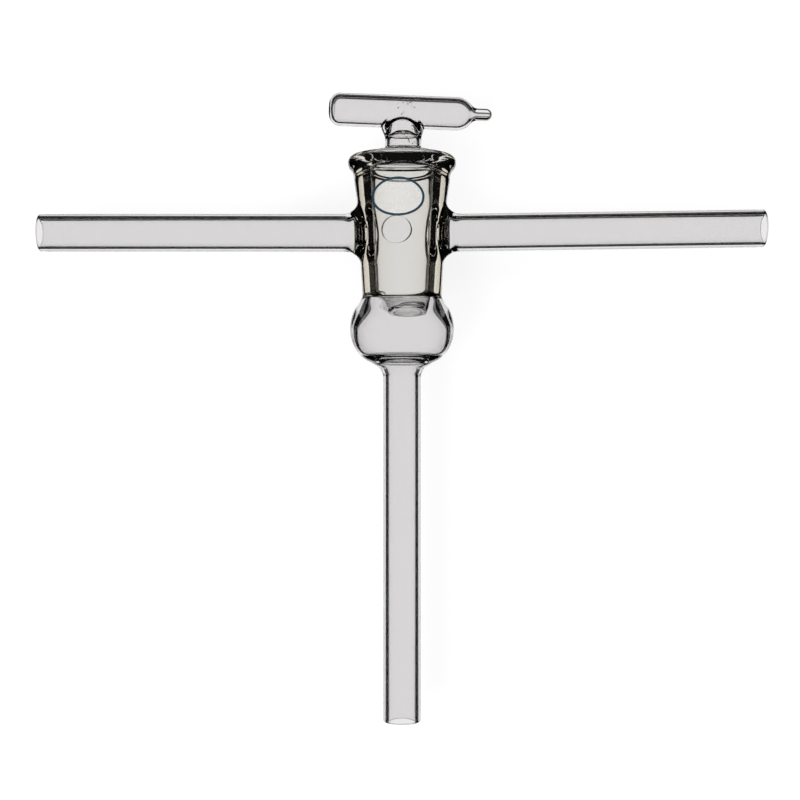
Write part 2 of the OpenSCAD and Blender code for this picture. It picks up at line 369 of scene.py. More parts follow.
class Section:
    """Half section of a blown piece: (radius, height) points, and each stretch's material"""

    def __init__(self):
        self.points = []
        self.finishes = []

    def add(self, points, finish=CLEAR):
        """Adds points and gives their rows, leaving out a first point that is there already."""
        if self.points and (Vector(points[0]) - Vector(self.points[-1])).length < 1e-7:
            points = points[1:]
            first = len(self.points) - 1
            self.finishes[-1] = finish
        else:
            first = len(self.points)
        self.points.extend(points)
        self.finishes.extend([finish] * len(points))
        return list(range(first, len(self.points)))


class Wall:
    """Collects the points and faces of one blown piece, then makes its object"""

    def __init__(self):
        self.points = []
        self.faces = []
        self.finishes = []

    def ring(self, points):
        """Adds points, and gives their numbers."""
        first = len(self.points)
        self.points.extend(points)
        return list(range(first, len(self.points)))

    def band(self, low, high, finish=CLEAR):
        """Faces between two closed rings of as many points."""
        for k in range(len(low)):
            j = (k + 1) % len(low)
            self.faces.append((low[k], low[j], high[j], high[k]))
            self.finishes.append(finish)

    def cap(self, ring, tip, finish=CLEAR):
        """Faces from a closed ring to one point."""
        end = self.ring([tip])[0]
        for k in range(len(ring)):
            self.faces.append((ring[k], ring[(k + 1) % len(ring)], end))
            self.finishes.append(finish)

    def grow(self, ring, rings, finish=CLEAR):
        """Bands from a ring over further rings. Gives the last one."""
        for points in rings:
            following = self.ring(points)
            self.band(ring, following, finish)
            ring = following
        return ring

    def span(self, low, high, curves):
        """Bands between two rings, over points of one curve for each of their columns."""
        rings = [[curve[step] for curve in curves] for step in range(1, len(curves[0]) - 1)]
        self.band(self.grow(low, rings), high)

    def turn(self, section, columns, windows=(), closed=False, place=None):
        """Turns a section about its axis, leaving windows (rows, columns) open. Gives its grid."""
        grid = []
        for radius, height in section.points:
            ring = [(x, y, height) for x, y in circle(columns, radius)]
            grid.append(self.ring([place(p) for p in ring] if place else ring))
        missing = {
            (row, column % columns)
            for rows, across in windows
            for row in rows[:-1]
            for column in range(min(across), max(across))
        }
        for row in range(len(grid) if closed else len(grid) - 1):
            low, high = grid[row], grid[(row + 1) % len(grid)]
            for k in range(columns):
                if (row, k) not in missing:
                    j = (k + 1) % columns
                    self.faces.append((low[k], low[j], high[j], high[k]))
                    self.finishes.append(section.finishes[row])
        return grid

    def window_rim(self, grid, rows, across):
        """Point numbers round a window, from the middle of its first column's side, upwards."""
        columns = len(grid[0])
        middle = len(rows) // 2
        first, last = across[0] % columns, across[-1] % columns
        rim = [grid[i][first] for i in rows[middle:]]
        rim += [grid[rows[-1]][j % columns] for j in across[1:]]
        rim += [grid[i][last] for i in reversed(rows[:-1])]
        rim += [grid[rows[0]][j % columns] for j in reversed(across[:-1])]
        return rim + [grid[i][first] for i in rows[1:middle]]

    def spot(self, rim, angle, radius_at, hole_r, steps, finish=CLEAR):
        """Rings on a turned surface, from a window's rim to a circle that faces angle."""
        c, s = math.cos(angle), math.sin(angle)
        start = [(-self.points[i][0] * s + self.points[i][1] * c, self.points[i][2]) for i in rim]
        end = circle(len(rim), hole_r)
        rings = []
        for step in range(1, steps + 1):
            t, ring = step / steps, []
            for (p0, q0), (p1, q1) in zip(start, end):
                side, rise = p0 + (p1 - p0) * t, q0 + (q1 - q0) * t
                depth = math.sqrt(radius_at(rise) ** 2 - side**2)
                ring.append(facing(angle, depth, side, rise))
            rings.append(ring)
        return self.grow(rim, rings, finish)

    def finish_piece(self, name, body, cad_node, materials):
        """Makes the object, laid on its side, that stands for a CAD node."""
        mesh = bpy.data.meshes.new(name)
        mesh.from_pydata([lay_down(p) for p in self.points], [], self.faces)
        for material in materials:
            mesh.materials.append(material)
        mesh.polygons.foreach_set("material_index", self.finishes)
        shape = bmesh.new()
        shape.from_mesh(mesh)
        bmesh.ops.remove_doubles(shape, verts=shape.verts, dist=1e-7)
        bmesh.ops.recalc_face_normals(shape, faces=shape.faces)
        loose = sum(not edge.is_manifold for edge in shape.edges)
        for face in shape.faces:
            face.smooth = True
        shape.to_mesh(mesh)
        shape.free()
        if loose:
            raise RuntimeError(f"{name} is not a closed wall: {loose} loose edges")
        piece = bpy.data.objects.new(name, mesh)
        bpy.context.scene.collection.objects.link(piece)
        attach(piece, body)
        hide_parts(cad_node)


# --- Materials ------------------------------------------------------------------------


def node(tree, kind, inputs=None, **settings):
    """Adds a node. An input is given a value, a socket, or the node whose first output it takes."""
    made = tree.nodes.new(kind)
    for name, value in settings.items():
        setattr(made, name, value)
    for name, value in (inputs or {}).items():
        if isinstance(value, bpy.types.Node):
            value = value.outputs[0]
        if isinstance(value, bpy.types.NodeSocket):
            tree.links.new(value, made.inputs[name])
        else:
            made.inputs[name].default_value = value
    return made


def new_material(name, surface):
    """A node material. The function surface adds its nodes and gives the last one."""
    material = bpy.data.materials.new(name)
    material.use_nodes = True
    tree = material.node_tree
    tree.nodes.clear()
    last = surface(tree, bpy.context.scene.stopcock_glass)
    node(tree, "ShaderNodeOutputMaterial", {"Surface": last})
    return material


def blown_borosilicate(tree, finish):
    """Fire-polished borosilicate glass, drawn and blown in a flame.

    It is clear and smooth with sharp reflections. Its thickness wavers a little over a
    centimetre or two, which the bump bends light by.
    """
    place = node(tree, "ShaderNodeTexCoord").outputs["Object"]
    slow = {"Vector": place, "Scale": 60.0, "Detail": 1.0, "Roughness": 0.4}
    waver = node(tree, "ShaderNodeTexNoise", slow)
    bump = node(tree, "ShaderNodeBump", {"Strength": 0.12, "Distance": 0.1 * MM, "Height": waver})
    glass = {"Base Color": finish.glass, "Roughness": 0.0, "IOR": 1.473, "Transmission Weight": 1.0}
    return node(tree, "ShaderNodeBsdfPrincipled", {**glass, "Normal": bump})


def greased_joint(tree, finish):
    """Ground faces of the joint with vacuum grease between them.

    The grease fills the grinding marks and matches the glass, so light crosses the joint
    without bending. It leaves a warm tint that deepens where the joint is seen edge on,
    and a thin haze that is uneven where the grease was worked in.
    """
    place = node(tree, "ShaderNodeTexCoord").outputs["Object"]
    streaks = {"Vector": place, "Scale": 260.0, "Detail": 3.0, "Roughness": 0.6}
    worked = {"Value": node(tree, "ShaderNodeTexNoise", streaks), "From Min": 0.3, "From Max": 0.8}
    share = node(tree, "ShaderNodeMapRange", {**worked, "To Min": 0.0, "To Max": 0.0005})
    edge = node(tree, "ShaderNodeLayerWeight", {"Blend": 0.35}).outputs["Facing"]
    tints = {0: edge, 6: finish.joint, 7: finish.joint_edge}
    tint = node(tree, "ShaderNodeMix", tints, data_type="RGBA").outputs[2]
    clear = node(tree, "ShaderNodeBsdfTransparent", {"Color": tint})
    haze = node(tree, "ShaderNodeBsdfDiffuse", {"Color": finish.haze})
    return node(tree, "ShaderNodeMixShader", {0: share, 1: clear, 2: haze})


def blown_glass():
    """The materials of a blown piece, made once: its glass, and its side of the ground joint."""
    surfaces = {
        "flame-worked borosilicate glass": blown_borosilicate,
        "greased ground glass joint": greased_joint,
    }
    made = bpy.data.materials
    return [made.get(name) or new_material(name, surface) for name, surface in surfaces.items()]


def trapped_air(tree, finish):
    """Air in a seed: a tiny bubble, seen from the glass round it as a dark ring with a bright dot.

    Its IOR is that of air as seen from inside glass, 1 / 1.473.
    """
    place = node(tree, "ShaderNodeTexCoord").outputs["Object"]
    dents = node(tree, "ShaderNodeTexNoise", {"Vector": place, "Scale": 5000.0, "Detail": 1.0})
    bump = node(tree, "ShaderNodeBump", {"Strength": 0.2, "Distance": 0.01 * MM, "Height": dents})
    return node(tree, "ShaderNodeBsdfGlass", {"IOR": 0.68, "Roughness": 0.0, "Normal": bump})


def fired_enamel(tree, finish):
    """Teal enamel, screened and fired on the glass: a thin opaque line, slightly grainy."""
    place = node(tree, "ShaderNodeTexCoord").outputs["Object"]
    grain = node(tree, "ShaderNodeTexNoise", {"Vector": place, "Scale": 2500.0, "Detail": 2.0})
    shades = {0: grain, 6: finish.outline, 7: finish.outline_light}
    shade = node(tree, "ShaderNodeMix", shades, data_type="RGBA").outputs[2]
    bump = node(tree, "ShaderNodeBump", {"Strength": 0.3, "Distance": 0.02 * MM, "Height": grain})
    line = {"Base Color": shade, "Roughness": 0.45, "Normal": bump}
    return node(tree, "ShaderNodeBsdfPrincipled", line)


def write_on_enamel(tree, finish):
    """Matt white enamel fired so thin that the glass shows through it, for pencil notes."""
    place = node(tree, "ShaderNodeTexCoord").outputs["Object"]
    grain = node(tree, "ShaderNodeTexNoise", {"Vector": place, "Scale": 900.0, "Detail": 3.0})
    speckle = {"Value": grain, "From Min": 0.3, "From Max": 0.7}
    cover = node(tree, "ShaderNodeMapRange", {**speckle, "To Min": 0.05, "To Max": 0.14})
    clear = node(tree, "ShaderNodeBsdfTransparent")
    white = node(tree, "ShaderNodeBsdfDiffuse", {"Color": finish.spot})
    return node(tree, "ShaderNodeMixShader", {0: cover, 1: clear, 2: white})


def white_table(tree, finish):
    """Matt white table top, lit from below: white to the camera, clear to light in the glass."""
    glow = node(tree, "ShaderNodeEmission", {"Color": WHITE, "Strength": TABLE_GLOW})
    paint = node(tree, "ShaderNodeBsdfDiffuse", {"Color": TABLE_GREY})
    lit = node(tree, "ShaderNodeAddShader", {0: glow, 1: paint})
    clear = node(tree, "ShaderNodeBsdfTransparent")
    seen = node(tree, "ShaderNodeLightPath").outputs["Is Camera Ray"]
    return node(tree, "ShaderNodeMixShader", {0: seen, 1: clear, 2: lit})


# --- The barrel -----------------------------------------------------------------------


def cone_radius(s, height):
    """Radius of the ground cone: it gains 1 mm of diameter over 10 mm."""
    return s.cone_r + (height + s.bore_depth) / 20


def bore_radius(s, height):
    """Radius of the ground bore: the cone's and its grease gap."""
    return cone_radius(s, height) + s.cone_gap


def shell_radius(s, height):
    """Outside of the shell: two gentle tapers that run into each other at the waist."""
    blend = 0.8 * MM
    low = (s.waist_r - s.foot_r) / (s.waist_height + s.bore_depth)
    high = (s.neck_r - s.waist_r) / (s.top - s.flange_h - s.waist_height)
    past = blend * math.log1p(math.exp((height - s.waist_height) / blend))
    return s.foot_r + low * (height + s.bore_depth) + (high - low) * past


def barrel_section(s):
    """Section of the barrel from the lower end up its outside and down its inside."""
    section = Section()
    bore_r = s.tube_r - s.tube_wall
    end, inner_end, low = s.tube_end, s.tube_end_in, -s.outlet_depth
    bulb = (s.bulb_r - s.bulb_swell, -s.bore_depth - s.bulb_sink)
    floor = bulb[1] - s.bulb_drop
    straight_top = floor - s.outlet_fillet

    def shell(*heights):
        return [(shell_radius(s, z * MM), z * MM) for z in heights]

    def bore(*heights):
        return [(bore_radius(s, z * MM), z * MM) for z in heights]

    # up the outside: tube, bulb, shell and flange
    section.add(arc((s.tube_r - end, low + end), (end, end), -90, 0, 6))
    section.add([(s.tube_r, low + end + SUPPORT), (s.tube_r, straight_top - SUPPORT)])
    under = arc(bulb, (s.bulb_swell, s.bulb_drop), -70, 0, 26)
    section.add(bend((s.tube_r, straight_top), (0, 2.2 * MM), under[0], way(under[:2], 2.2), 14))
    section.add(under)
    upper = arc(bulb, (s.bulb_swell, s.bulb_rise), 0, 40, 16)
    section.add(upper)
    section.add(bend(upper[-1], way(upper[-2:], 1.4), shell(-19.6)[0], (0, 1.6 * MM), 12))
    section.add(shell(-17, -14, -11.4))
    outer = section.add(shell(*(z * 11 / 19 for z in range(-19, 20))))
    section.add(shell(11.6, 12.5, 14, 16, 17.5))
    rim = s.flange_h / 2
    under = arc((s.neck_r, s.top - rim), (s.flange_r - s.neck_r, rim), -60, 0, 12)
    corner = (s.neck_r, s.top - s.flange_h - 0.5 * MM)
    section.add(rounded([(shell(18.3)[0], 0), (corner, 0.12 * MM), (under[0], 0)], 6))
    section.add(under)
    section.add(arc((s.flange_r - rim, s.top - rim), (rim, rim), 0, 90, 14))

    # down the inside: ground bore, mouth, bulb, throat and tube
    edge, step = 0.5 * MM, 0.2 * MM
    section.add(arc((bore_radius(s, s.top) + edge, s.top - edge), (edge, edge), 90, 180, 5))
    section.add(bore(s.top / MM - 1.2, 20, 14, 8, 6.2), GROUND)
    inner = section.add(bore(*(z / 5 for z in range(27, -28, -1))), GROUND)
    section.add(bore(-6.2, -9, -14, -18, -20), GROUND)
    ground_end = -s.ground_end
    end_r = bore_radius(s, ground_end)
    mouth_r = end_r + s.mouth_step
    section.add([(bore_radius(s, ground_end + step), ground_end + step)])
    section.add(arc((end_r + step, ground_end + step), (step, step), 180, 270, 4))
    section.add(arc((mouth_r - step, ground_end - step), (step, step), 90, 0, 4))
    widest = (s.bulb_r - s.bulb_wall, bulb[1] - 0.6 * MM)
    section.add(bend((mouth_r, ground_end - 0.5 * MM), (0, -2 * MM), widest, (0, -4.6 * MM), 26))
    lip = (s.throat_r + s.lip_r, floor + s.floor_wall - s.lip_r)
    section.add(bend(widest, (0, -5 * MM), (s.floor_r, lip[1] + s.lip_r), (-2.4 * MM, 0), 26))
    lip_turn = arc(lip, (s.lip_r, s.lip_r), 90, 250, 16)
    section.add(lip_turn)
    under_lip = (s.undercut_r, lip[1] - 1.3 * MM)
    section.add(bend(lip_turn[-1], way(lip_turn[-2:], 0.4), under_lip, (0, -0.6 * MM), 8))
    bore_top = straight_top + 1.2 * MM
    section.add(bend(under_lip, (0, -0.6 * MM), (bore_r, bore_top), (0, -2 * MM), 14))
    section.add([(bore_r, bore_top - SUPPORT), (bore_r, low + inner_end + SUPPORT)])
    section.add(arc((bore_r + inner_end, low + inner_end), (inner_end, inner_end), 180, 270, 6))
    return section, outer, inner


def add_arm(wall, s, angle, lean, outer_rim, inner_rim):
    """Blows an arm out of the shell, between a window outside it and one in its bore."""
    bore_r = s.tube_r - s.tube_wall
    end, inner_end = s.tube_end, s.tube_end_in
    count = len(outer_rim)
    reach = s.arm_reach - s.tube_r * math.sin(lean)
    shell_r = shell_radius(s, 0)
    root_r, root_end = s.tube_r + s.root_spread, shell_r + s.root_run
    straight_at = root_end + 3 * MM

    def ring(radius, depth, waver=0.0):
        """A ring round the arm. Depth is from the plug axis, or a function that gives it."""
        points = []
        for k, (side, rise) in enumerate(circle(count, 1.0)):
            a = 2 * math.pi * k / count
            r = radius + waver * (math.sin(3 * a + 1.1) + 0.6 * math.sin(5 * a + 0.4 + angle))
            out = depth(r * side, r * rise) if callable(depth) else depth
            out += waver * math.sin(2 * a + 0.7)
            leaned = r * rise + max(0.0, out - shell_r) * math.tan(lean)
            points.append(facing(angle, out, r * side, leaned))
        return points

    def from_skin(radius_at, run, share=0.0, end_depth=0.0):
        """Depth a run out from a turned surface, going over to one depth by a share."""

        def depth(side, rise):
            skin = math.sqrt(radius_at(s, rise) ** 2 - side**2)
            return (1 - share) * (skin + run) + share * end_depth

        return depth

    def curl(radius_at, radius, spread, run, steps):
        """Rings that turn through a quarter, from a surface's skin out along the arm."""
        rings = []
        for step in range(1, steps + 1):
            a = math.pi / 2 * step / steps
            out = from_skin(radius_at, run * (1 - math.cos(a)))
            rings.append(ring(radius - spread * math.sin(a), out))
        return rings

    def level(radius_at, radius, run, end_depth, steps):
        """Rings that flatten from a skin's shape to one depth."""
        shares = [ease(step / steps) for step in range(1, steps + 1)]
        return [ring(radius, from_skin(radius_at, run, share, end_depth)) for share in shares]

    # outside: the shell, the spreading root, and the tube
    last = wall.spot(outer_rim, angle, lambda z: shell_radius(s, z), root_r, 3)
    rings = curl(shell_radius, root_r, s.root_spread, s.root_run, 16)
    rings += level(shell_radius, s.tube_r, s.root_run, straight_at, 6)
    rings += [ring(s.tube_r, straight_at + 2 * MM), ring(s.tube_r, reach - end - SUPPORT)]
    rings += [ring(r, d) for r, d in arc((s.tube_r - end, reach - end), (end, end), 0, 90, 6)]
    outer_end = wall.grow(last, rings)

    # inside: the hole in the ground bore, the pocket of the root, and the tube's bore
    edge = 0.2 * MM
    hole_r, pocket_r, pocket = s.hole_r, s.pocket_r, s.pocket_depth
    last = wall.spot(inner_rim, angle, lambda z: bore_radius(s, z), hole_r + edge, 4, GROUND)
    rings = curl(bore_radius, hole_r + edge, edge, edge, 4)
    rings += level(bore_radius, hole_r, edge, pocket, 5)
    widest = (pocket + 1.5 * MM, pocket_r)
    widen = bend((pocket, hole_r), (0.5 * MM, 0), widest, (0.7 * MM, 0.5 * MM), 9)
    narrow = bend(widest, (0.9 * MM, 0.3 * MM), (root_end, bore_r), (2 * MM, 0), 12)
    for depth, radius in widen[1:] + narrow[1:]:
        share = ease((radius - hole_r) / (pocket_r - hole_r))
        rings.append(ring(radius, depth, ROOT_WAVER * share))
    rings += [ring(bore_r, straight_at), ring(bore_r, reach - end - SUPPORT)]
    edge_arc = arc((bore_r + inner_end, reach - inner_end), (inner_end, inner_end), 180, 90, 6)
    rings += [ring(r, d) for r, d in edge_arc]
    wall.band(wall.grow(last, rings), outer_end)


class STOPCOCK_OT_barrel(bpy.types.Operator):
    """Blow the barrel: flanged shell, side arms, bulb and lower tube"""

    bl_idname = "stopcock.barrel"
    bl_label = "Barrel"

    def execute(self, context):
        s, plug = context.scene.stopcock_barrel, context.scene.stopcock_plug
        section, outer, inner = barrel_section(s)
        port = round(plug.port_turn / (2 * math.pi) * COLUMNS)
        right, left = 0, COLUMNS // 2
        arms = [(side, rows) for side in (right, left) for rows in (outer, inner)]
        windows = []
        for side, rows in [*arms, (port, inner)]:
            half = OUTER_WINDOW if rows is outer else INNER_WINDOW
            windows.append((rows, list(range(side + half, side - half - 1, -1))))
        wall = Wall()
        grid = wall.turn(section, COLUMNS, windows, closed=True)
        # the bore's rows run down, so its windows are read from their lower ends up
        rims = [
            wall.window_rim(grid, rows if rows is outer else rows[::-1], across)
            for rows, across in windows
        ]
        add_arm(wall, s, 0.0, ARM_LEAN, rims[0], rims[1])
        add_arm(wall, s, math.pi, 0.0, rims[2], rims[3])
        self.add_clear_spot(wall, s, plug, rims[4])
        wall.finish_piece("barrel_glass", "barrel", "barrel", blown_glass())
        return {"FINISHED"}

    def add_clear_spot(self, wall, s, plug, rim):
        """Fills the bore's window over the plug's port, where no grease lies on the glass."""

        def radius_at(z):
            return bore_radius(s, z)

        last = wall.spot(rim, plug.port_turn, radius_at, plug.port_r, 4, GROUND)
        last = wall.spot(last, plug.port_turn, radius_at, 0.4 * MM, 6)
        wall.cap(last, facing(plug.port_turn, radius_at(0), 0, 0))


# --- The plug -------------------------------------------------------------------------

# One skin of the handle: its radius, the radii along and round it of the oval in which the
# neck meets it, and how far that oval sits to the back
Skin = namedtuple("Skin", "radius along_r round_r back")


def nose_rings(s, curve, start_r, end_r):
    """Rings of the lower end, which lean over to its offset, tilted hole as they close."""
    rings = []
    for radius, height in curve:
        share = min(max((start_r - radius) / (start_r - end_r), 0.0), 1.0)
        ring = []
        for c, q in circle(COLUMNS, 1.0):
            x, y = radius * c, radius * q
            drop = share * y * math.tan(s.nose_tilt)
            ring.append((x + share * s.nose_side, y - share * s.nose_front, height - drop))
        rings.append(ring)
    return rings


def plug_sections(s, barrel):
    """Sections of the plug, up its outside and up its inside, each with the port's rows."""
    shoulder = barrel.top + s.shoulder_rise
    bend_at = shoulder - s.shoulder_round
    ground_end = -barrel.ground_end / MM

    def cone(*heights, inset=0.0):
        return [(cone_radius(barrel, z * MM) - inset, z * MM) for z in heights]

    outside = Section()
    outside.add(cone(ground_end - s.nose_reach / MM))
    outside.add(cone(ground_end, -20, -16, -12, -8, -6.2), GROUND)
    port_out = outside.add(cone(*PORT_ROWS), GROUND)
    outside.add(cone(6.2, 9, 14, 19, 22), GROUND)
    outside.add(cone(22.6))
    turn = (cone_radius(barrel, bend_at) - s.shoulder_round, bend_at)
    outside.add(arc(turn, (s.shoulder_round, s.shoulder_round), 0, 90, 14))
    fillet, foot = s.neck_fillet, shoulder + s.neck_fillet
    outside.add(arc((s.neck_r + fillet, foot), (fillet, fillet), 270, 180, 10))
    outside.add([(s.neck_r, foot + 1 * MM), (s.neck_r, s.neck_top)])

    inside = Section()
    inside.add(cone(ground_end + 0.4, -18.5, -16, -12, -8, -6.2, inset=s.wall))
    port_in = inside.add(cone(*PORT_ROWS, inset=s.wall))
    inside.add(cone(6.2, 9, 13, 16, 18, inset=s.wall))
    mark = s.mark_height / MM
    for step in range(-5, 6):
        ridge = s.mark * (1 + math.cos(math.pi * step / 5)) / 2
        inside.add(cone(mark + step * 0.08, inset=s.wall + ridge))
    inside.add(cone(mark + 1, inset=s.wall))
    high = shoulder - s.wall - s.dome_h
    dome_r = cone_radius(barrel, high) - s.wall - s.neck_r
    dome = arc((s.neck_r, high), (dome_r, s.dome_h), 0, 74, 16)
    inside.add(dome)
    neck_bore = s.neck_r - s.handle_wall
    dome_end = (neck_bore, high + s.dome_h + 2.2 * MM)
    inside.add(bend(dome[-1], way(dome[-2:], 1.2), dome_end, (0, 1.2 * MM), 10))
    bore_top = s.web_height - SUPPORT
    inside.add([(neck_bore, bore_top - 1 * MM), (neck_bore, bore_top)])
    return outside, port_out, inside, port_in


def handle_section(s, inset, half):
    """Section of the handle along its axis, drawn in by a wall.

    Gives it with its window's rows, to half each side of the middle, and its two ends.
    """
    section = Section()
    r, end_r = s.handle_r - inset, s.handle_round - inset
    tip_r, tip_h = (s.capillary_r, s.capillary_h) if inset else (s.tip_r, s.tip_h)
    left, drawn = inset - s.handle_left, s.handle_right + s.draw_h
    section.add(arc((r - end_r, left + end_r), (end_r, end_r), -90, 0, 14))
    section.add([(r, left + end_r + 2 * MM), (r, -half - 1 * MM)])
    rows = section.add(straight((r, -half), (r, half), HANDLE_ROWS))
    section.add([(r, half + 1 * MM), (r, s.handle_right - 2 * MM)])
    bulge, fall = s.draw_round - inset, r - tip_r
    sweep = (s.draw_h**2 + (bulge - fall) ** 2 - bulge**2) / (2 * fall)
    turn = math.degrees(math.asin(s.draw_h / (bulge + sweep)))
    section.add(arc((r - bulge, s.handle_right), (bulge, bulge), 0, turn, 14))
    section.add(arc((tip_r + sweep, drawn), (sweep, sweep), 180 + turn, 180, 10))
    top = drawn + tip_h
    section.add([(tip_r, top - 1.2 * tip_r)])
    section.add(arc((0.0, top - tip_r), (tip_r, tip_r), 0, 84, 10))
    return section, rows, left, top


def on_handle(s):
    """Gives the function that puts a point drawn along the handle's axis in its place."""
    c, sn = math.cos(s.handle_lean), math.sin(s.handle_lean)

    def place(point):
        """x is down, y is to the back and z is along the handle, to the right."""
        down, back, along = point
        return (along * c - down * sn, back, s.handle_height - along * sn - down * c)

    return place


def handle_point(s, radius, along, skin):
    """A point on the handle's skin, from the middle of its underside: along it and round it."""
    a = skin / radius
    return on_handle(s)((radius * math.cos(a), -radius * math.sin(a), along))


class STOPCOCK_OT_plug(bpy.types.Operator):
    """Blow the plug: hollow ground cone, neck and T handle with its seal-off tip"""

    bl_idname = "stopcock.plug"
    bl_label = "Plug"

    def execute(self, context):
        s, barrel = context.scene.stopcock_plug, context.scene.stopcock_barrel
        wall = Wall()
        outside, port_out, inside, port_in = plug_sections(s, barrel)
        middle = round(s.port_turn / (2 * math.pi) * COLUMNS)
        across = list(range(middle + PORT_WINDOW, middle - PORT_WINDOW - 1, -1))

        def set_over(point):
            """Carries the shoulder and the neck over to the neck's own axis."""
            share = ease((point[2] - barrel.top + 1.5 * MM) / (s.shoulder_rise + 1.5 * MM))
            return (point[0] + share * s.neck_side, point[1], point[2])

        outer = wall.turn(outside, COLUMNS, [(port_out, across)], place=set_over)
        inner = wall.turn(inside, COLUMNS, [(port_in, across)], place=set_over)
        outer_rim = wall.window_rim(outer, port_out, across)
        self.add_port(wall, s, barrel, outer_rim, wall.window_rim(inner, port_in, across))
        self.add_nose(wall, s, barrel, outer[0], inner[0])
        skin = Skin(s.handle_r, s.saddle_r, s.saddle_round, 0.0)
        seal = self.add_handle(wall, s, skin, half=8.5 * MM, steps=5)
        self.neck(wall, s, skin, outer[-1], seal)
        skin = Skin(s.handle_r - s.handle_wall, s.mouth_r, s.mouth_round, s.mouth_back)
        mouth = self.add_handle(wall, s, skin, half=6.6 * MM, steps=3)
        self.neck_inside(wall, s, skin, inner[-1], mouth)
        wall.finish_piece("plug_glass", "plug", "plug", blown_glass())
        return {"FINISHED"}

    def add_port(self, wall, s, barrel, outer_rim, inner_rim):
        """Joins the cone's outside to its inside round the port."""
        edge, angle = 0.06 * MM, s.port_turn
        ends = []
        outside, inside = (outer_rim, 0.0, -1, GROUND), (inner_rim, s.wall, 1, CLEAR)
        for rim, inset, sign, finish in (outside, inside):

            def radius_at(z, inset=inset):
                return cone_radius(barrel, z) - inset

            last = wall.spot(rim, angle, radius_at, s.port_r + edge, 3, finish)
            rings = []
            for step in range(1, 5):
                a = math.pi / 2 * step / 4
                r, run = s.port_r + edge - edge * math.sin(a), edge * (1 - math.cos(a))
                ring = []
                for side, rise in circle(len(rim), r):
                    depth = math.sqrt(radius_at(rise) ** 2 - side**2) + sign * run
                    ring.append(facing(angle, depth, side, rise))
                rings.append(ring)
            ends.append(wall.grow(last, rings))
        wall.band(ends[1], ends[0])

    def add_nose(self, wall, s, barrel, outer_ring, inner_ring):
        """Closes the lower end with a thin funnel, down to the flat lip of its hole."""
        cone_end = -barrel.ground_end - s.nose_reach
        full_r = cone_radius(barrel, cone_end)
        low, thin = cone_end - s.nose_h, s.nose_wall
        middle = (s.nose_lip_r + s.nose_hole_r) / 2
        size = ((s.nose_lip_r - s.nose_hole_r) / 2, s.nose_lip_h / 2)
        lip = arc((middle, low + size[1]), size, 30, -300, 30)
        bottom = (full_r - 0.1 * MM, cone_end - 0.4 * MM)
        outer = rounded([((full_r, cone_end), 0), (bottom, 0.35 * MM), (lip[0], 0)], 10)
        hollow_low = -barrel.ground_end + 0.4 * MM
        inner_r = cone_radius(barrel, hollow_low) - s.wall
        thinned = (bottom[0] - thin, bottom[1] + 0.8 * MM)
        inner = bend((inner_r, hollow_low), (0, -0.4 * MM), thinned, (0, -0.2 * MM), 10)
        turned = (bottom[0] - 0.8 * thin, bottom[1] + 0.6 * thin)
        inner += rounded([(thinned, 0), (turned, 0.2 * MM), (lip[-1], 0)], 8)[1:]
        for line in (outer, inner):  # keeps the funnel straight right up to its lip
            line.insert(-1, tuple(Vector(line[-1]).lerp(Vector(line[-2]), 0.05)))
        last = wall.grow(outer_ring, nose_rings(s, outer[1:] + lip[1:], bottom[0], s.nose_lip_r))
        wall.band(wall.grow(inner_ring, nose_rings(s, inner[1:-1], turned[0], lip[-1][0])), last)

    def add_handle(self, wall, s, skin, half, steps):
        """Turns one skin of the handle, and draws its window in to the neck's oval.

        The window reaches half each side of the middle. Gives the oval's ring, from the front.
        """
        place = on_handle(s)
        section, rows, left, top = handle_section(s, s.handle_r - skin.radius, half)
        across = list(range(-HANDLE_WINDOW, HANDLE_WINDOW + 1))
        grid = wall.turn(section, HANDLE_COLUMNS, [(rows, across)], place=place)
        wall.cap(grid[0], place((0, 0, left)))
        wall.cap(grid[-1], place((0, 0, top)))
        rim = wall.window_rim(grid, rows, across)
        skin_half = 2 * math.pi / HANDLE_COLUMNS * HANDLE_WINDOW * skin.radius
        start = self.window_places(len(rows) - 1, len(rim), skin_half, half)
        squash, oval = skin.round_r / skin.along_r, circle(len(rim), skin.along_r)
        end = [(p * squash - skin.back, q + s.neck_side) for p, q in oval]
        rings = []
        for step in range(1, steps + 1):
            t = step / steps
            rings.append(
                [
                    handle_point(s, skin.radius, q0 + (q1 - q0) * t, p0 + (p1 - p0) * t)
                    for (p0, q0), (p1, q1) in zip(start, end)
                ]
            )
        ring = wall.grow(rim, rings)
        quarter = len(ring) // 4
        return ring[quarter:] + ring[:quarter]

    def window_places(self, row_steps, count, skin_half, half):
        """Round-the-skin and along-the-handle places of a window's rim."""
        column_steps = count // 2 - row_steps
        up = [(skin_half, half * (2 * i / row_steps - 1)) for i in range(row_steps + 1)]
        over = [(skin_half * (1 - 2 * i / column_steps), half) for i in range(column_steps + 1)]
        middle = row_steps // 2
        back = [(-p, q) for p, q in reversed(up[:-1])]
        under = [(p, -q) for p, q in reversed(over[:-1])]
        return up[middle:] + over[1:] + back + under + up[1:middle]

    def skin_ways(self, s, skin, a):
        """Two directions on an oval on the handle's skin: outwards along it, and inwards."""
        along, over = skin.along_r * math.cos(a), -skin.round_r * math.sin(a)

        def at(depth, size):
            side, round_it = size * along + s.neck_side, (size * over - skin.back) * depth
            return Vector(handle_point(s, skin.radius * depth, side, round_it))

        nearer = at(1.0, 0.98)
        return (at(1.0, 1.0) - nearer).normalized(), (at(0.98, 0.98) - nearer).normalized()

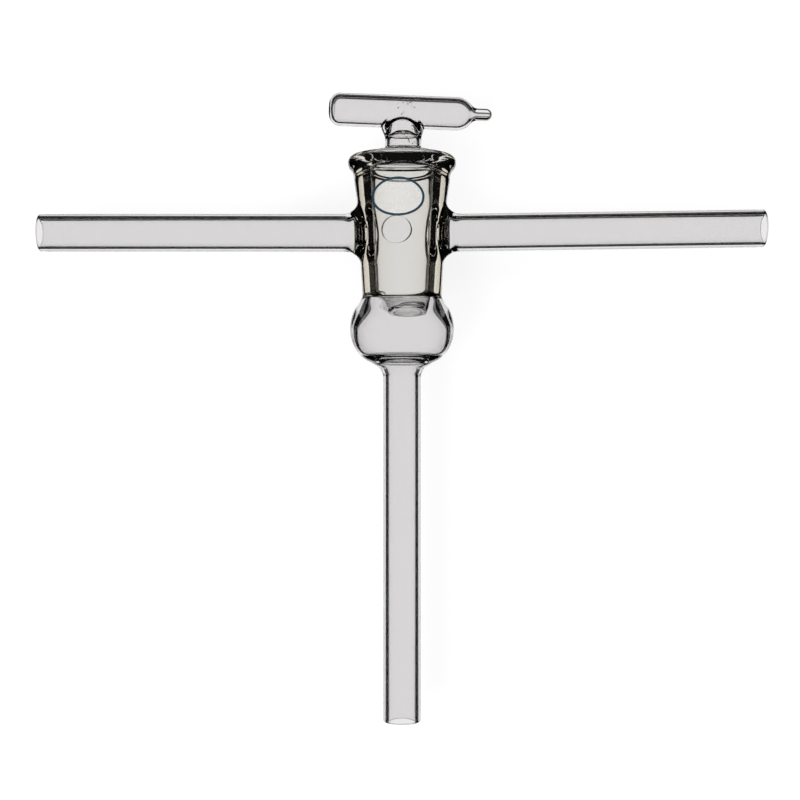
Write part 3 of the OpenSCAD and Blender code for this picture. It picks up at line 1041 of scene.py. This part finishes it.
    def neck(self, wall, s, skin, neck_ring, seal):
        """Flares the neck to a ridge, and turns it in to the seal on the handle's skin."""
        curves = []
        for k in range(COLUMNS):  # fuller at the front and the back, where the skin curves away
            start, end = Vector(wall.points[neck_ring[k]]), Vector(wall.points[seal[k]])
            a = 2 * math.pi * k / COLUMNS
            out, inward = self.skin_ways(s, skin, a)
            ridge = end - out * uneven(a, 0.25, -0.46, 0.65)
            ridge -= inward * uneven(a, s.seam / MM, 0.85, 0.82)
            foot = start + Vector((0, 0, 0.9 * MM))
            curves.append(rounded([(start, 0), (foot, 0.8 * MM), (ridge, 0.5 * MM), (end, 0)], 8))
        wall.span(neck_ring, seal, curves)

    def neck_inside(self, wall, s, skin, bore_ring, mouth):
        """Domes the neck's bore in to the web's hole, and opens out above it to the handle."""
        peak = s.web_height + s.web_dome
        foot = (s.web_r, s.web_height + s.web_wall)
        rim = (s.neck_r - s.handle_wall, s.web_height)
        hole, hole_top = (s.web_hole_r, peak), (s.web_hole_r, peak + s.web_wall)
        under = bend(rim, (0, 0.25 * MM), hole, (-2.6 * MM, 0.1 * MM), 18)
        over = bend(hole_top, (2 * MM, 0), foot, (0.5 * MM, -0.35 * MM), 18)
        edge = bend(hole, (-0.3 * MM, 0), hole_top, (0.3 * MM, 0), 8)
        web = under + edge[1:] + over[1:]
        turns = circle(COLUMNS, 1.0)
        rings = [[(r * c + s.neck_side, r * q, z) for c, q in turns] for r, z in web]
        last = wall.grow(bore_ring, rings)
        curves = []
        for k in range(COLUMNS):
            start, end = Vector(wall.points[last[k]]), Vector(wall.points[mouth[k]])
            a = 2 * math.pi * k / COLUMNS
            out, inward = self.skin_ways(s, skin, a)
            corner = end - out * uneven(a, 0.25, -1.05, 0.46)
            corner -= inward * uneven(a, 0.85, 1.1, 0.97)
            # the cup over the web is oval: wider along the handle than across it
            foot = start + Vector((0.4 * math.cos(a), -0.4 * math.sin(a), -0.2)) * MM
            curves.append(rounded([(start, 0), (foot, 0.3 * MM), (corner, 0.6 * MM), (end, 0)], 7))
        wall.span(last, mouth, curves)


# --- Marking and seeds, grown on the finished glass -----------------------------------


def new_growth(name, sockets):
    """An empty Geometry Nodes tree with named inputs. Gives the tree and its input sockets."""
    tree = bpy.data.node_groups.new(name, "GeometryNodeTree")
    tree.interface.new_socket("Geometry", in_out="OUTPUT", socket_type="NodeSocketGeometry")
    for socket, kind in sockets.items():
        tree.interface.new_socket(socket, in_out="INPUT", socket_type="NodeSocket" + kind)
    return tree, node(tree, "NodeGroupInput").outputs


def grow_piece(name, tree, values, body):
    """Evaluates a tree once with its input values, and keeps the mesh as a piece."""
    piece = bpy.data.objects.new(name, bpy.data.meshes.new(name))
    bpy.context.scene.collection.objects.link(piece)
    modifier = piece.modifiers.new(tree.name, "NODES")
    modifier.node_group = tree
    for item in tree.interface.items_tree:
        if item.in_out == "INPUT":
            modifier[item.identifier] = values[item.name]
    graph = bpy.context.evaluated_depsgraph_get()
    mesh = bpy.data.meshes.new_from_object(piece.evaluated_get(graph), depsgraph=graph)
    piece.modifiers.clear()
    if not mesh.polygons:
        raise RuntimeError(f"{name} came out empty")
    mesh.name = name
    piece.data = mesh
    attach(piece, body)


def marking_tree():
    """An oval outline round a thin spot, both draped over the front of the glass."""
    sizes = dict.fromkeys(("Width", "Height", "Line", "Film", "Lift"), "Float")
    tree, given = new_growth(
        "write-on spot", {**sizes, "Middle": "Vector", "Points": "Int", "Glass": "Object"}
    )

    def half_size(trim):
        """Half width and half height of the oval, less so many widths of its line."""
        halves = []
        for side in ("Width", "Height"):
            less = node(tree, "ShaderNodeMath", {0: given["Line"], 1: -trim}, operation="MULTIPLY")
            half = {0: given[side], 1: 0.5, 2: less}
            halves.append(node(tree, "ShaderNodeMath", half, operation="MULTIPLY_ADD"))
        return node(tree, "ShaderNodeCombineXYZ", {"X": halves[0], "Y": halves[1], "Z": 1.0})

    round_line = {"Resolution": given["Points"], "Radius": 1.0}
    ring = node(tree, "GeometryNodeCurvePrimitiveCircle", round_line)
    oval = node(tree, "GeometryNodeTransform", {"Geometry": ring, "Scale": half_size(0.5)})
    level = node(tree, "GeometryNodeSetCurveNormal", {"Curve": oval}, mode="Z_UP")
    flat_line = {"Width": given["Line"], "Height": given["Film"]}
    profile = node(tree, "GeometryNodeCurvePrimitiveQuadrilateral", flat_line)
    line = node(tree, "GeometryNodeCurveToMesh", {"Curve": level, "Profile Curve": profile})
    enamel = new_material("fired teal enamel", fired_enamel)
    outline = node(tree, "GeometryNodeSetMaterial", {"Geometry": line, "Material": enamel})

    # the spot: a thin grid of points, drawn from a square into an oval
    thickness = node(tree, "ShaderNodeMath", {0: given["Film"], 1: 0.5}, operation="MULTIPLY")
    size = node(tree, "ShaderNodeCombineXYZ", {"X": 2.0, "Y": 2.0, "Z": thickness})
    counts = {"Vertices X": 41, "Vertices Y": 33, "Vertices Z": 2}
    slab = node(tree, "GeometryNodeMeshCube", {"Size": size, **counts})
    place = node(tree, "GeometryNodeInputPosition").outputs[0]
    parts = node(tree, "ShaderNodeSeparateXYZ", {"Vector": place}).outputs
    drawn = []
    for own, other in (("X", "Y"), ("Y", "X")):
        both = {0: parts[other], 1: parts[other]}
        square = node(tree, "ShaderNodeMath", both, operation="MULTIPLY")
        share = node(tree, "ShaderNodeMath", {0: square, 1: -0.5, 2: 1.0}, operation="MULTIPLY_ADD")
        root = node(tree, "ShaderNodeMath", {0: share}, operation="SQRT")
        drawn.append(node(tree, "ShaderNodeMath", {0: parts[own], 1: root}, operation="MULTIPLY"))
    unit = node(tree, "ShaderNodeCombineXYZ", {"X": drawn[0], "Y": drawn[1], "Z": parts["Z"]})
    sized = node(tree, "ShaderNodeVectorMath", {0: unit, 1: half_size(1.0)}, operation="MULTIPLY")
    spot = node(tree, "GeometryNodeSetPosition", {"Geometry": slab, "Position": sized})
    enamel = new_material("thin white write-on enamel", write_on_enamel)
    spot = node(tree, "GeometryNodeSetMaterial", {"Geometry": spot, "Material": enamel})

    # drape both over the front of the glass
    flat = node(tree, "GeometryNodeJoinGeometry")
    for part in (outline, spot):
        tree.links.new(part.outputs[0], flat.inputs[0])
    moved = node(tree, "ShaderNodeVectorMath", {0: place, 1: given["Middle"]}, operation="ADD")
    glass = node(tree, "GeometryNodeObjectInfo", {"Object": given["Glass"]}).outputs["Geometry"]
    ray = {"Source Position": moved, "Ray Direction": (0.0, 0.0, -1.0), "Ray Length": 1.0}
    hit = node(tree, "GeometryNodeRaycast", {"Target Geometry": glass, **ray}).outputs
    above = node(tree, "ShaderNodeMath", {0: parts["Z"], 1: given["Lift"]}, operation="ADD")
    out = {"Vector": hit["Hit Normal"], "Scale": above}
    rise = node(tree, "ShaderNodeVectorMath", out, operation="SCALE")
    draped = node(tree, "ShaderNodeVectorMath", {0: hit["Hit Position"], 1: rise}, operation="ADD")
    laid = node(tree, "GeometryNodeSetPosition", {"Geometry": flat, "Position": draped})
    real = node(tree, "GeometryNodeRealizeInstances", {"Geometry": laid})
    node(tree, "NodeGroupOutput", {"Geometry": real})
    return tree


class STOPCOCK_OT_marking(bpy.types.Operator):
    """Fire the oval write-on spot on the front of the barrel"""

    bl_idname = "stopcock.marking"
    bl_label = "Marking"

    def execute(self, context):
        s = context.scene.stopcock_marking
        values = {
            "Width": s.width,
            "Height": s.height,
            "Line": s.line,
            "Film": s.film,
            "Lift": s.film / 2 + FILM_GAP,
            "Middle": (s.side, PLUG_AXIS.y + s.rise, RAY_START),
            "Points": s.segments,
            "Glass": bpy.data.objects["barrel_glass"],
        }
        grow_piece("marking", marking_tree(), values, "barrel")
        return {"FINISHED"}


def seed_tree():
    """Small round bubbles under the skin of the glass, round one place on its front."""
    sizes = dict.fromkeys(("Reach", "Radius", "Density"), "Float")
    others = {"Glass": "Object", "Middle": "Vector", "Seed": "Int"}
    tree, given = new_growth("seeds", {**sizes, **others})
    glass = node(tree, "GeometryNodeObjectInfo", {"Object": given["Glass"]}).outputs["Geometry"]
    place = node(tree, "GeometryNodeInputPosition")
    away = node(tree, "ShaderNodeVectorMath", {0: place, 1: given["Middle"]}, operation="DISTANCE")
    within = {0: away.outputs["Value"], 1: given["Reach"]}
    near = node(tree, "ShaderNodeMath", within, operation="LESS_THAN")
    amounts = {"Selection": near, "Density": given["Density"], "Seed": given["Seed"]}
    spread = node(tree, "GeometryNodeDistributePointsOnFaces", {"Mesh": glass, **amounts})
    sink = {"Vector": spread.outputs["Normal"], "Scale": -SEED_DEPTH}
    inward = node(tree, "ShaderNodeVectorMath", sink, operation="SCALE")
    under = node(tree, "GeometryNodeSetPosition", {"Geometry": spread, "Offset": inward})
    bubble = node(tree, "GeometryNodeMeshIcoSphere", {"Radius": given["Radius"], "Subdivisions": 2})
    sizes = {2: SMALLEST_SEED, 3: 1.0, "Seed": given["Seed"]}
    size = node(tree, "FunctionNodeRandomValue", sizes, data_type="FLOAT").outputs[1]
    each = {"Points": under, "Instance": bubble, "Scale": size}
    bubbles = node(tree, "GeometryNodeInstanceOnPoints", each)
    real = node(tree, "GeometryNodeRealizeInstances", {"Geometry": bubbles})
    air = new_material("air in a seed", trapped_air)
    finished = node(tree, "GeometryNodeSetMaterial", {"Geometry": real, "Material": air})
    node(tree, "NodeGroupOutput", {"Geometry": finished})
    return tree


class STOPCOCK_OT_seeds(bpy.types.Operator):
    """Leave seeds, tiny bubbles, in the glass of the plug's neck and handle"""

    bl_idname = "stopcock.seeds"
    bl_label = "Seeds"

    def execute(self, context):
        s = context.scene.stopcock_seeds
        tree = seed_tree()
        for place, seed in (("neck", 3), ("handle", 5)):
            values = {
                "Glass": bpy.data.objects["plug_glass"],
                "Middle": lay_down(getattr(s, place + "_middle")),
                "Reach": getattr(s, place + "_reach"),
                "Radius": s.radius,
                "Density": getattr(s, place + "_density"),
                "Seed": seed,
            }
            grow_piece(place + "_seeds", tree, values, "plug")
        return {"FINISHED"}


# --- The stage ------------------------------------------------------------------------


class STOPCOCK_OT_stage(bpy.types.Operator):
    """Set the floor, the bright field under the glass, soft lamps and the camera"""

    bl_idname = "stopcock.stage"
    bl_label = "Stage"

    def execute(self, context):
        s = context.scene.stopcock_stage
        self.floor(context.scene, s)
        self.world(context.scene)
        self.lamps(context.scene)
        self.camera(context.scene, s)
        context.scene.view_settings.view_transform = "Standard"
        return {"FINISHED"}

    def floor(self, scene, s):
        """A white table that glass looks through, down to the bright field."""
        half = s.floor_width / 2
        square = [(-half, -half), (half, -half), (half, half), (-half, half)]
        corners = [(x, y, -s.floor_gap) for x, y in square]
        mesh = bpy.data.meshes.new("floor")
        mesh.from_pydata(corners, [], [(0, 1, 2, 3)])
        mesh.materials.append(new_material("white table", white_table))
        floor = bpy.data.objects.new("floor", mesh)
        scene.collection.objects.link(floor)

    def world(self, scene):
        """A bright field under the glass, black flags round it, and a bright band at eye level.

        Cameras see plain white. Light that has gone through the glass sees the field and the
        band. Light that has also glanced off a face sees the field alone, as the flags hide
        the band from it: that keeps the edges of the glass black.
        """
        scene.world = bpy.data.worlds.new("bright field")
        scene.world.use_nodes = True
        tree = scene.world.node_tree
        tree.nodes.clear()
        ray = node(tree, "ShaderNodeLightPath").outputs
        place = node(tree, "ShaderNodeTexCoord").outputs["Generated"]
        height = node(tree, "ShaderNodeSeparateXYZ", {"Vector": place}).outputs["Z"]
        reach = {"Value": height, "From Min": -1.0, "From Max": 1.0}
        level = node(tree, "ShaderNodeMapRange", reach)
        through = self.bands(tree, level, FIELD + BAND + OVERHEAD)
        glanced = self.bands(tree, level, FIELD + OVERHEAD)
        once = {0: ray["Glossy Depth"], 1: 1.0}
        glances = node(tree, "ShaderNodeMath", once, operation="MINIMUM")
        glass_sees = node(tree, "ShaderNodeMixShader", {0: glances, 1: through, 2: glanced})
        room = node(tree, "ShaderNodeBackground", {"Color": WHITE, "Strength": ROOM_LIGHT})
        white = node(tree, "ShaderNodeBackground", {"Color": WHITE, "Strength": 1.0})
        either = {0: ray["Is Transmission Ray"], 1: ray["Is Glossy Ray"]}
        glassy = node(tree, "ShaderNodeMath", either, operation="MAXIMUM")
        lit = node(tree, "ShaderNodeMixShader", {0: glassy, 1: room, 2: glass_sees})
        seen = node(tree, "ShaderNodeMixShader", {0: ray["Is Camera Ray"], 1: lit, 2: white})
        node(tree, "ShaderNodeOutputWorld", {"Surface": seen})

    def bands(self, tree, level, stops):
        """A background whose brightness goes by height, from straight down to straight up."""
        shades = node(tree, "ShaderNodeValToRGB", {"Fac": level})
        elements = shades.color_ramp.elements
        while len(elements) < len(stops):
            elements.new(1.0)
        for element, (at, shade) in zip(elements, stops):
            element.position, element.color = at, shade
        return node(tree, "ShaderNodeBackground", {"Color": shades, "Strength": 1.0})

    def lamps(self, scene):
        """Two soft boxes above the object, turned to its middle. Each is (place, width, watts)."""
        boxes = {
            "left_soft_box": ((-0.5, -0.25, 0.7), 0.5, 5.0),
            "right_soft_box": ((0.6, 0.4, 0.6), 0.4, 2.5),
        }
        for name, (place, size, power) in boxes.items():
            light = bpy.data.lights.new(name, "AREA")
            light.size, light.energy = size, power
            lamp = bpy.data.objects.new(name, light)
            lamp.location = place
            lamp.visible_glossy = lamp.visible_transmission = False
            lamp.rotation_euler = (-Vector(place)).to_track_quat("-Z", "Y").to_euler()
            scene.collection.objects.link(lamp)

    def camera(self, scene, s):
        """Looks straight down on the resting stopcock."""
        data = bpy.data.cameras.new("camera")
        data.lens = s.lens
        data.clip_start, data.clip_end = 0.01, 100.0
        camera = bpy.data.objects.new("camera", data)
        camera.location = (s.camera_side, s.camera_rise, PLUG_AXIS.z + s.camera_height)
        scene.collection.objects.link(camera)
        scene.camera = camera


# --- Panel and registration -----------------------------------------------------------


class STOPCOCK_PT_pieces(bpy.types.Panel):
    """Lists the pieces of the stopcock in the order in which they are made"""

    bl_idname = "STOPCOCK_PT_pieces"
    bl_label = "Glass stopcock"
    bl_space_type = "VIEW_3D"
    bl_region_type = "UI"
    bl_category = "Stopcock"

    def draw(self, context):
        for operator in OPERATORS:
            self.layout.operator(operator.bl_idname)
        for group in GROUPS:
            settings = getattr(context.scene, group)
            box = self.layout.box()
            for name in settings.bl_rna.properties.keys()[2:]:  # the first two are Blender's own
                box.prop(settings, name)


OPERATORS = (
    STOPCOCK_OT_barrel,
    STOPCOCK_OT_plug,
    STOPCOCK_OT_marking,
    STOPCOCK_OT_seeds,
    STOPCOCK_OT_stage,
)
CLASSES = tuple(GROUPS.values()) + OPERATORS + (STOPCOCK_PT_pieces,)


def register():
    for cls in CLASSES:
        bpy.utils.register_class(cls)
    for name, group in GROUPS.items():
        setattr(bpy.types.Scene, name, PointerProperty(type=group))


def unregister():
    for name in GROUPS:
        delattr(bpy.types.Scene, name)
    for cls in reversed(CLASSES):
        bpy.utils.unregister_class(cls)


def main():
    register()
    bpy.ops.stopcock.barrel()
    bpy.ops.stopcock.plug()
    bpy.ops.stopcock.marking()
    bpy.ops.stopcock.seeds()
    bpy.ops.stopcock.stage()


if __name__ == "__main__":
    main()
